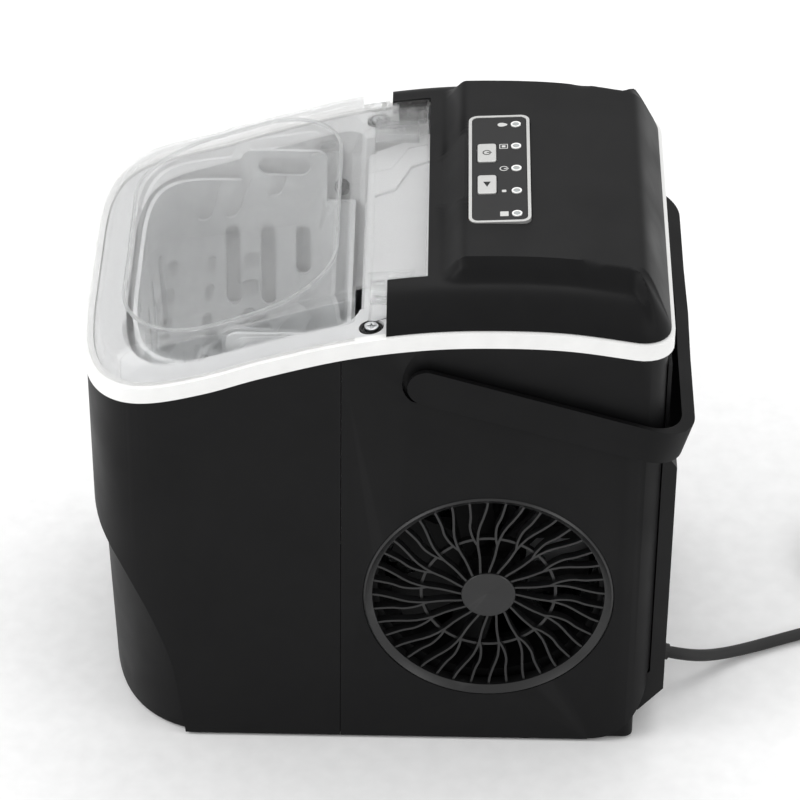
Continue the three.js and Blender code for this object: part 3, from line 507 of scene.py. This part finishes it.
def skin(name, height, thick):
    """A shell over the trim's outline: ever smaller rings, each point lifted by its distance from the rim."""
    edge = outline(**TRIM, grow=-2, steps=150, side_steps=110, round_steps=20)
    line = np.array(edge)
    keeps = [1 - 0.012 * i for i in range(18)] + [0.784 - 0.0245 * (i + 1) for i in range(31)]
    centre = np.array((0.0, -6.0))

    def lifted(keep, drop):
        pts = centre + (line - centre) * keep
        out = []
        for x, y in pts:
            d = float(np.min(np.hypot(line[:, 0] - x, line[:, 1] - y)))
            out.append((x, y, height(x, y, max(0.0, d)) - drop))
        return out

    def foot(x, y):
        return trim_z(y) + TRIM_HEIGHT + GAP

    inner_keep = [k for k in keeps if k < 0.976]
    under = [lifted(k, thick) for k in inner_keep][::-1]
    rim_in = [(x, y, foot(x, y)) for x, y, _ in lifted(INNER_KEEP, 0)]
    rim_out = [(x, y, foot(x, y)) for x, y, _ in lifted(1.0, 0)]
    rings = under + [rim_in, rim_out] + [lifted(k, 0) for k in keeps]
    return loft(rings, name)


PANEL_X, PANEL_Y, PANEL_HALF, PANEL_DEPTH, PANEL_TILT = 3.2, 55.1, 50.0, 15.7, 3.1
PANEL_PLACE = Matrix.Translation((PANEL_X * MM, PANEL_Y * MM,
    cover_height(0, PANEL_Y, 60) * MM)) @ Matrix.Rotation(math.radians(PANEL_TILT), 4, "X")


def top_cover():
    cover = skin("cover_skin", cover_height, 2.4)
    common(cover, block(-130, EAR_Y, 200, 130, 160, 320))
    cut(cover, block(-NOTCH_HALF, -20, 200, NOTCH_HALF, NOTCH_Y, 320))
    cut(cover, moved(prism("z", rounded(0, 0, 2 * PANEL_HALF + 1, 2 * PANEL_DEPTH + 1, 5), -3, 6),
        PANEL_PLACE))
    for side in (1, -1):
        a, b = sorted((side * (NOTCH_HALF + 0.2), side * (NOTCH_HALF + 8)))
        join(cover, prism("x", [(3, 262), (18, 262), (18, 274), (3, 274)], a, b))
        cut(cover, prism("x", circle(LID_Y, LID_Z, 3, 32), a - 2, b + 2))
    show(soften(cover, 0.8, 3, merge=0), "machine", "cover", ["top_cover"])


def lid():
    def height(x, y, d):
        return trim_z(y) + TRIM_HEIGHT + rise(d) - 0.4 * smooth((d - 19) / 2)

    cover = skin("lid_shell", height, 2.2)
    front = join(block(-130, -170, 200, 130, EAR_Y - 1.4, 320),
        block(-NOTCH_HALF + 0.7, -10, 262, NOTCH_HALF - 0.7, NOTCH_Y - 0.7, 320))
    common(cover, front)
    for side in (1, -1):
        a, b = sorted((side * (NOTCH_HALF - 3.2), side * (NOTCH_HALF - 0.7)))
        join(cover, prism("x", [(-6, 262), (15, 263.5), (18, 276), (-6, 273)], a, b))
        cut(cover, prism("x", circle(LID_Y, LID_Z, 2.9, 32), a - 1, b + 1))
        a, b = sorted((side * 85, side * 115))
        cut(cover, block(a, -16, 240, b, 5, 290))
    show(soften(cover, 0.6, 2), "lid", "clear", ["lid"])
    # The raised bead round the window.
    path = []
    for x, y in rounded(0, -80.5, 178, 108, 44, 14):
        d = 30
        path.append((x, y, height(x, y, d) - 0.1))
    ring_tube("lid_window_bead", path, 1.0, "lid", "bead")
    for side, label in ((1, "right"), (-1, "left")):
        a, b = sorted((side * 68, side * 82.6))
        bracket = cut(block(a, -9, 259.5, b, 14, 264.5),
            block(a + 1.4, -7.6, 260.9, b - 1.4, 12.6, 266))
        join(bracket, rod("z", side * 75, 4, 260, 264.2, 2.6, 32))
        bracket.name = "lid_bracket_" + label
        show(soften(bracket, 0.3), "lid", "bead")


def ring_tube(name, path, r, body, finish, sides=10, closed_path=True):
    pts = [Vector(p) for p in path]
    n = len(pts)
    verts, faces = [], []
    up = Vector((0, 0, 1))
    for i, p in enumerate(pts):
        a = pts[(i - 1) % n] if closed_path or i else p
        b = pts[(i + 1) % n] if closed_path or i < n - 1 else p
        t = (b - a).normalized()
        s = t.cross(up).normalized()
        u = s.cross(t)
        verts += [tuple(p + r * (s * math.cos(2 * math.pi * k / sides)
            + u * math.sin(2 * math.pi * k / sides))) for k in range(sides)]
    for i in range(n if closed_path else n - 1):
        j = (i + 1) % n
        faces += [(i * sides + k, i * sides + (k + 1) % sides, j * sides + (k + 1) % sides,
            j * sides + k) for k in range(sides)]
    if not closed_path:
        faces += [tuple(range(sides))[::-1], tuple(range((n - 1) * sides, n * sides))]
    obj = make(name, verts, faces, body, finish)
    for p in obj.data.polygons:
        p.use_smooth = True
    return obj


# ---------- handle ----------
def rod(axis, a, b, low, high, r, sides=64):
    if axis == "y":
        a, b = b, a
    return prism(axis, circle(a, b, r, sides), low, high)


def handle():
    h = HANDLE
    a, b, reach, bow, bar, band = (h[key] for key in ("inner", "outer", "reach", "bow", "bar", "band"))

    def side(x, far, bend):
        line = [(x, -16), (x, far - bend - bow)]
        for t in np.linspace(0, math.pi / 2, 19)[1:]:
            line.append((x - bend + bend * math.cos(t), far - bend - bow + bend * math.sin(t)))
        return line + [(40, far - 0.6), (0, far)]

    def mirror(line):
        return [(-x, y) for x, y in line[:-1]][::-1]

    outer, inside = side(b, reach, 22), side(a, reach - bar, 19)
    bail = prism("z", outer + mirror(outer) + mirror(inside)[::-1] + inside[::-1], -band / 2, band / 2)
    end = [(band / 2 * math.cos(t), (band / 2 + 0.02) * math.sin(t))
        for t in np.linspace(math.pi / 2, 1.5 * math.pi, 33)]
    common(bail, prism("x", end + [(200, -band / 2 - 0.1), (200, band / 2 + 0.1)], -130, 130))
    cut(bail, rod("x", 0, 0, a - 2, b - 0.9, 4), rod("x", 0, 0, -b + 0.9, -a + 2, 4))
    bail.name = "carry_bail"
    soften(bail, 0.9, 3)
    place = Matrix.Translation((0, h["y"] * MM, h["z"] * MM)) @ Matrix.Rotation(math.radians(h["tilt"]),
        4, "X")
    show(moved(bail, place), "handle", "shell", ["carry_handle"])


# ---------- fan grille ----------
RIBS = [
    [(13, 1), (20, -4.5), (26, -6.6), (32, -7), (41, -9.6), (49, -13.6), (56, -16), (61.4, -16.6)],
    [(32, -7), (37, -4.6), (44, -4.4), (51, -6.6), (61.4, -7.6)],
]


def stack(y, z, steps, sides=96):
    """A round body about an X axis, from the place and radius of each of its rings."""
    turns = np.linspace(0, 2 * math.pi, sides, endpoint=False)
    return loft([[(x, y + r * math.cos(t), z + r * math.sin(t)) for t in turns] for x, r in steps])


def strip(line, width):
    left, right = [], []
    for i, (x, y) in enumerate(line):
        px, py = line[max(0, i - 1)]
        qx, qy = line[min(len(line) - 1, i + 1)]
        size = math.hypot(qx - px, qy - py)
        nx, ny = -(qy - py) / size * width / 2, (qx - px) / size * width / 2
        left.append((x + nx, y + ny))
        right.append((x - nx, y - ny))
    return right + left[::-1]


def grille():
    front, y, z = HALF + 0.6, FAN["y"], FAN["z"]
    whole = stack(y, z, [(front - 9, 64.5), (front - 1, 64.5), (front, 63.5)])
    cut(whole, stack(y, z, [(front - 10, 60), (front - 3, 60), (front - 2, 61.5), (front + 0.5, 64)]))
    hub = stack(y, z, [(front - 9, 14), (front - 3.4, 14), (front - 3, 13.6)])
    join(whole, cut(hub, stack(y, z, [(front - 5, 1), (front - 2.9, 12.9)])))
    for i in range(20):
        for branch in RIBS:
            polar = [(r, math.radians(turn + 18 * i)) for r, turn in spline(branch, 14)]
            line = strip([(r * math.cos(t), r * math.sin(t)) for r, t in polar], 1.2)
            join(whole, prism("x", [(a + y, b + z) for a, b in line], front - 8.5, front - 4))
    join(whole, cut(rod("x", y, z, front - 9, front - 6, 35.5),
        rod("x", y, z, front - 10, front - 5, 34)))
    whole.name = "fan_guard"
    show(soften(whole, 0.3, 2), "machine", "guard", ["fan_grille"])


# ---------- base ----------
def base():
    rim = dict(KICK_FOOT, half=HALF - 3.2, front=-142.1, rear=132.1, corner=17)
    square = loft([at(outline(**dict(rim, corner=5)), FLOOR_GAP),
        at(outline(**dict(rim, corner=5)), 31)])
    tray = loft([at(outline(**rim), FLOOR_GAP), at(outline(**rim), 31)])
    join(tray, common(square, lower_corner(0.4)))
    inset = outline(**dict(rim, corner=16.6), grow=-2.6)
    cut(tray, loft([at(inset, FLOOR_GAP + 3), at(inset, 40)]), rod("y", CORD_X, CORD_Z, 110, 150, 4.8),
        rod("z", -55, -95, 0, 10, 8.3))
    tray.name = "base_pan"
    show(soften(tray, 0.7), "machine", "shell", ["base_tray"])
    for name, x, y in (("front_right", 78, -100), ("front_left", -78, -100), ("rear_right", 84, 108),
        ("rear_left", -84, 108)):
        foot = rod("z", x, y, 0, FLOOR_GAP - GAP, 8.6)
        foot.name = "rubber_foot_" + name
        show(soften(foot, 0.3), "machine", "rubber", ["foot_" + name])


# ---------- control panel ----------
BUTTONS = (("power_button", -14.0), ("select_button", 15.6))
BUTTON_SIZE, BUTTON_DROP = (17.0, 9.6), -6.4
LIGHT_ROW, LIGHTS = 8.6, [0.6 + 20.9 * k for k in (-2, -1, 0, 1, 2)]


def on_panel(name, obj, body, finish, replaces=(), width=0.3, segments=2):
    if width:
        soften(obj, width, segments)
    obj.name = name
    return show(moved(obj, PANEL_PLACE), body, finish, replaces)


def panel():
    w, h = 2 * PANEL_HALF, 2 * PANEL_DEPTH
    edge = cut(prism("z", rounded(0, 0, w, h, 4.8, 12), -2.4, 0.8),
        prism("z", rounded(0, 0, w - 3.4, h - 3.4, 3.4, 12), -3, 2))
    on_panel("panel_frame", edge, "machine", "silver", ["panel_bezel"], 0.4, 3)
    plate = prism("z", rounded(0, 0, w - 4, h - 4, 3.1, 10), -2.4, 0.5)
    bw, bh = BUTTON_SIZE
    for _, x in BUTTONS:
        cut(plate, prism("z", rounded(x, BUTTON_DROP, bw + 0.8, bh + 0.8, 1.4), -3, 2))
    for x in LIGHTS:
        cut(plate, rod("z", x, LIGHT_ROW, -3, 2, 2.9))
    on_panel("panel_face", plate, "machine", "panel", ["panel_plate"], 0.15)
    for name, x in BUTTONS:
        cap = prism("z", rounded(x, BUTTON_DROP, bw, bh, 1.6, 8), -2.3, 1.1)
        on_panel(name + "_cap", cap, name, "silver", [name], 0.35, 3)
    for i, x in enumerate(LIGHTS):
        rim = cut(rod("z", x, LIGHT_ROW, -2.3, 0.85, 2.6), rod("z", x, LIGHT_ROW, 0.4, 2, 1.75))
        on_panel(f"indicator_rim_{i + 1}", rim, "machine", "white", [f"indicator_light_{i + 1}"],
            0.2)
        on_panel(f"indicator_lens_{i + 1}", rod("z", x, LIGHT_ROW, 0.42, 0.7, 1.7), "machine", "led",
            [], 0.1)


def printed(name, shapes, x, y, body, finish, top):
    """Thin printed marks: each shape is an outline, with any further outlines cut out of it."""
    for k, (first, *holes) in enumerate(shapes):
        mark = prism("z", [(x + a, y + b) for a, b in first], top - 0.02, top + 0.05)
        for hole in holes:
            cut(mark, prism("z", [(x + a, y + b) for a, b in hole], top - 1, top + 1))
        on_panel(f"{name}_{k + 1}", mark, body, finish, [], 0)


def icons():
    def square(side):
        return rounded(0, 0, side, side, 0.3, 3)

    drop = []
    for t in np.linspace(0, 2 * math.pi, 28, endpoint=False):
        swell = 0.55 + 0.45 * math.cos((t - math.pi) / 2) ** 2
        drop.append((2.25 * math.sin(t) * swell, -0.45 + 2.55 * math.cos(t)))
    ring = [circle(0, 0, 2.2, 32), circle(0, 0, 1.65, 32), rounded(0, 1.8, 1.5, 2.4, 0.2, 3)]
    power = [[rounded(0, 1.2, 0.6, 2.6, 0.25, 4)], ring]
    sets = [
        ("mark_water", [[drop]]),
        ("mark_ice", [[square(4.4), square(3.5)], [rounded(0, 0, 1.9, 1.9, 0.2, 3)]]),
        ("mark_on", power),
        ("mark_small", [[square(2.2)]]),
        ("mark_large", [[square(4.2)]]),
    ]
    for (name, shapes), x in zip(sets, LIGHTS):
        printed(name, shapes, x, 2.2, "machine", "print", 0.5)
    printed("cap_mark_power", power, BUTTONS[0][1], BUTTON_DROP, "power_button", "dark", 1.1)
    arrow = [(-2.2, -1.9), (2.4, 0), (-2.2, 1.9)]
    printed("cap_mark_select", [[arrow]], BUTTONS[1][1], BUTTON_DROP, "select_button", "dark", 1.1)


# ---------- bin, basket and evaporator cover ----------
SENSOR_Y, SENSOR_Z = -27, 218
SCREW_X, SCREW_Y, SCREW_Z = 96, -8, 253.6
HOLD = dict(TOP, half=105, front=-150, rear=100, corner=6)
INSIDE = dict(TOP, half=105, front=-150, rear=-19, corner=10)


def layer(form, grow, rear, z, corner=None):
    """One level of a form drawn in by grow, ending at rear."""
    form = dict(form, rear=rear - grow)
    if corner is not None:
        form["corner"] = corner - grow
    return at(outline(**form, grow=grow), z)


def inner_bin():
    liner = loft([layer(HOLD, 0.3, 100.3, 112), layer(HOLD, 0.3, 100.3, 300)])
    well = loft([layer(HOLD, -19, -16, 116, 12), layer(HOLD, -13, -13, 300, 14)])
    pit = common(loft([layer(HOLD, -16, 78, 176, 8), layer(HOLD, -13, 80, 300, 8)]),
        block(-130, -9.5, 160, 130, 90, 300))
    common(liner, common(trim_band(-140, TRIM_HEIGHT - 1.5, -165, 95),
        block(-130, -165, 0, 130, 84, 300)))
    under = common(loft([layer(HOLD, 3, 103, 100), layer(HOLD, 3, 103, 290)]),
        trim_band(-200, TRIM_HEIGHT - 4.1, -164, 95))
    fat_well = loft([layer(HOLD, -16.4, -13.4, 90, 14), layer(HOLD, -10.4, -10.4, 310, 16)])
    fat_pit = loft([layer(HOLD, -13.4, 80.6, 90, 10), layer(HOLD, -10.4, 82.6, 310, 10)])
    cut(under, common(fat_well, block(-130, -165, 113.4, 130, 0, 310)),
        common(fat_pit, block(-130, -13, 173.4, 130, 90, 310)))
    cut(liner, under)
    cut(liner, well, pit, block(-79.5, -20, 214, 79.5, 0, 300), block(-26, 78, 200, 26, 90, 300),
        rod("x", 52, 245, -110, -80, 5.4))
    for side in (1, -1):
        a, b = sorted((side * 80, side * 96))
        cut(liner, rod("x", SENSOR_Y, SENSOR_Z, a, b, 4.3))
        cut(liner, rod("z", side * SCREW_X, SCREW_Y, SCREW_Z, 270, 6.3))
    liner.name = "bin_lining"
    show(soften(liner, 1.0, 3), "machine", "liner", ["inner_bin"])


def basket():
    body = loft([layer(INSIDE, -24, -24, 124), layer(INSIDE, -19, -19, 224)])
    cut(body, loft([layer(INSIDE, -26, -26, 126.2), layer(INSIDE, -21, -21, 226)]))
    for side in (1, -1):
        low = 83.9 if side > 0 else -85.9
        tab = prism("x", [(y - 58, z + 231) for z, y in rounded(0, 0, 24, 46, 6, 8)], low, low + 2)
        join(body, common(tab, block(-90, -90, 222, 90, -30, 250)))
        a, b = side * 84 - 12, side * 84 + 12
        cut(body, prism("x", slot(-58, 233, 28, 11), a, b))
        for y, high, bottom in ((-86, 196, 146), (-67, 196, 146), (-48, 196, 166)):
            cut(body, prism("x", slot(y, (high + bottom) / 2, 8, high - bottom), a, b))
    cut(body, block(-90, -35, 212, 90, 0, 260))
    for x in (-60, -36, -12, 12, 36, 60):
        cut(body, prism("y", slot(168, x, 44, 7), -160, -100))
    for row in range(3):
        for k in range(-2, 3):
            cut(body, prism("z", slot(k * 26, -102 + row * 26, 16, 7), 120, 130))
    body.name = "basket_body"
    show(soften(body, 0, merge=0), "ice_basket", "basket", ["ice_basket"])


def flange_screws():
    """The screws beside the lid's hinges, each in a dark washer."""
    for side, label in ((1, "right"), (-1, "left")):
        x, y, low = side * SCREW_X, SCREW_Y, SCREW_Z + GAP
        washer = cut(rod("z", x, y, low, low + 1.2, 5.9), rod("z", x, y, low - 1, low + 3, 4.1))
        washer.name = "screw_washer_" + label
        show(soften(washer, 0.3), "machine", "dark", ["flange_screw_" + label])
        head = cut(rod("z", x, y, low, low + 2.6, 3.6),
            block(x - 2, y - 0.4, low + 1.4, x + 2, y + 0.4, low + 4))
        cut(head, block(x - 0.4, y - 2, low + 1.4, x + 0.4, y + 2, low + 4))
        head.name = "screw_head_" + label
        show(soften(head, 0.4), "machine", "steel")


def evaporator_hood():
    hood = prism("x", [(-10, 243.4), (26, 258.9), (26, 260.4), (-10, 244.9)], -78, 78)
    join(hood, rod("x", -9.6, 242.6, -78, 78, 3.2))
    step = [(-78, -9), (-36, -9), (-36, 2), (-52, 10), (-52, 19), (-47, 22), (-52, 26), (-78, 26)]
    slab = prism("x", [(-10, 244.5), (27, 260.4), (27, 262.4), (-10, 246.5)], -80, 80)
    join(hood, common(prism("z", step, 230, 280), slab))
    hood.name = "hood"
    show(soften(hood, 0.4), "machine", "liner", ["evaporator_cover"])


# ---------- rear ----------
REAR_SCREWS = ((-84, 44), (84, 44), (-84, 162), (84, 162))


def rear_cover():
    y = REAR_Y + GAP
    side = [(133, 9), (135, 9), (147.8, 24), (147.8, 170), (142.2, 178), (142.2, 234), (y, 234),
        (y, 35.6), (133, 28)]
    cover = cut(prism("x", side, -94, 94), block(CORD_X - 9, 130, 0, CORD_X + 9, 150, 32),
        block(-75, 139, 52, 75, 144.8, 166))
    for row in range(8):
        for x in (-42, 42):
            cut(cover, prism("y", slot(66 + row * 12, x, 5, 66), 139, 150))
    for x, z in REAR_SCREWS:
        cut(cover, rod("y", x, z, 142.6, 150, 4.3))
    cover.name = "vented_back"
    show(soften(cover, 0.8), "machine", "dark", ["rear_cover"])


# ---------- lead ----------
ROUTE = [(57.6, 160, 17.6), (54, 168, 13.8), (47.5, 177, 9), (40, 188, 5.2), (33, 201, 3.7),
    (26, 216, 3.5), (19, 232, 3.5), (13, 250, 3.5), (9.6, 268, 3.7)]
CORD_X, CORD_Z, CORD_SLOPE, WALL_Y = 58.0, 24.0, 12.0, 130.8
COIL_X, COIL_Y, PITCH = -44.7, 286.0, 6.6


def lead():
    fall = math.tan(math.radians(CORD_SLOPE))
    pts = [(CORD_X, y, CORD_Z - (y - WALL_Y) * fall) for y in (134, 140, 146, 152)] + ROUTE
    turns, each = 3, 24
    outer = 46.1
    for k in range(1, turns * each + 1):
        t = k / (turns * each)
        r = 53.2 - min(1, k / 9) * (53.2 - outer) - max(0, t - 0.12) / 0.88 * 2 * PITCH
        a = 2 * math.pi * k / each
        pts.append((COIL_X + r * math.cos(a), COIL_Y + r * math.sin(a), 4.95))
    for k in range(1, turns * each + 1):
        t = k / (turns * each)
        r = outer - 2 * PITCH * (1 - t)
        a = 2 * math.pi * k / each
        pts.append((COIL_X + r * math.cos(a), COIL_Y + r * math.sin(a), 4.95 + 6.5 * min(1, k / 7)))
    pts += [(-0.6, 297, 11.2), (-3.2, 314, 10.6), (-8.4, 330, 9.6), (-16, 342, 8.6),
        (-26.9, 348.3, 8.0)]
    curve = bpy.data.curves.new("mains_lead", "CURVE")
    curve.dimensions = "3D"
    curve.bevel_depth, curve.bevel_resolution, curve.resolution_u = 3.25 * MM, 5, 4
    spline = curve.splines.new("NURBS")
    spline.points.add(len(pts) - 1)
    for p, q in zip(spline.points, pts):
        p.co = (*[c * MM for c in q], 1)
    spline.order_u, spline.use_endpoint_u = 4, True
    obj = bpy.data.objects.new("mains_lead", curve)
    bpy.context.scene.collection.objects.link(obj)
    show(obj, "machine", "rubber", ["power_cord", "cord_coil"])
    length = spline_length(obj)


def spline_length(obj):
    graph = bpy.context.evaluated_depsgraph_get()
    copy = obj.data.copy()
    copy.bevel_depth = 0
    bare = bpy.data.objects.new("bare", copy)
    bpy.context.scene.collection.objects.link(bare)
    graph.update()
    mesh = bpy.data.meshes.new_from_object(bare.evaluated_get(bpy.context.evaluated_depsgraph_get()))
    total = sum((mesh.vertices[e.vertices[0]].co - mesh.vertices[e.vertices[1]].co).length
        for e in mesh.edges)
    bpy.data.objects.remove(bare)
    bpy.data.meshes.remove(mesh)
    return round(total, 3)


# ---------- studio ----------
def studio():
    world = bpy.data.worlds.new("studio")
    bpy.context.scene.world = world
    bpy.context.scene.view_settings.view_transform = "Standard"
    world.use_nodes = True
    world.node_tree.nodes["Background"].inputs[0].default_value = (1, 1, 1, 1)
    world.node_tree.nodes["Background"].inputs[1].default_value = 0.8
    floor = make("floor", [(-6000, -6000, -0.2), (6000, -6000, -0.2), (6000, 6000, -0.2),
        (-6000, 6000, -0.2)], [(0, 1, 2, 3)])
    floor.data.materials.append(material("floor_paper", (0.93, 0.93, 0.93), 0.9, speckle=0.02,
        grain=0.1, grain_size=3))
    for name, where, target, size, power in (
        ("key", (0.5, -1.5, 1.2), (0, -0.05, 0.12), 1.1, 14),
        ("over", (-0.7, 0.2, 1.7), (0, 0, 0.2), 1.2, 10),
        ("rear", (0.9, 1.5, 1.0), (0, 0.05, 0.2), 0.9, 5),
    ):
        data = bpy.data.lights.new(name, "AREA")
        data.size, data.energy = size, power
        lamp = bpy.data.objects.new(name, data)
        lamp.matrix_world = Matrix.Translation(where) @ (Vector(target) - Vector(where)).to_track_quat(
            "-Z", "Y").to_matrix().to_4x4()
        bpy.context.scene.collection.objects.link(lamp)


lead()
front_shell()
rear_shell()
trim()
base()
top_cover()
lid()
panel()
icons()
inner_bin()
basket()
flange_screws()
evaporator_hood()
handle()
grille()
rear_cover()
studio()
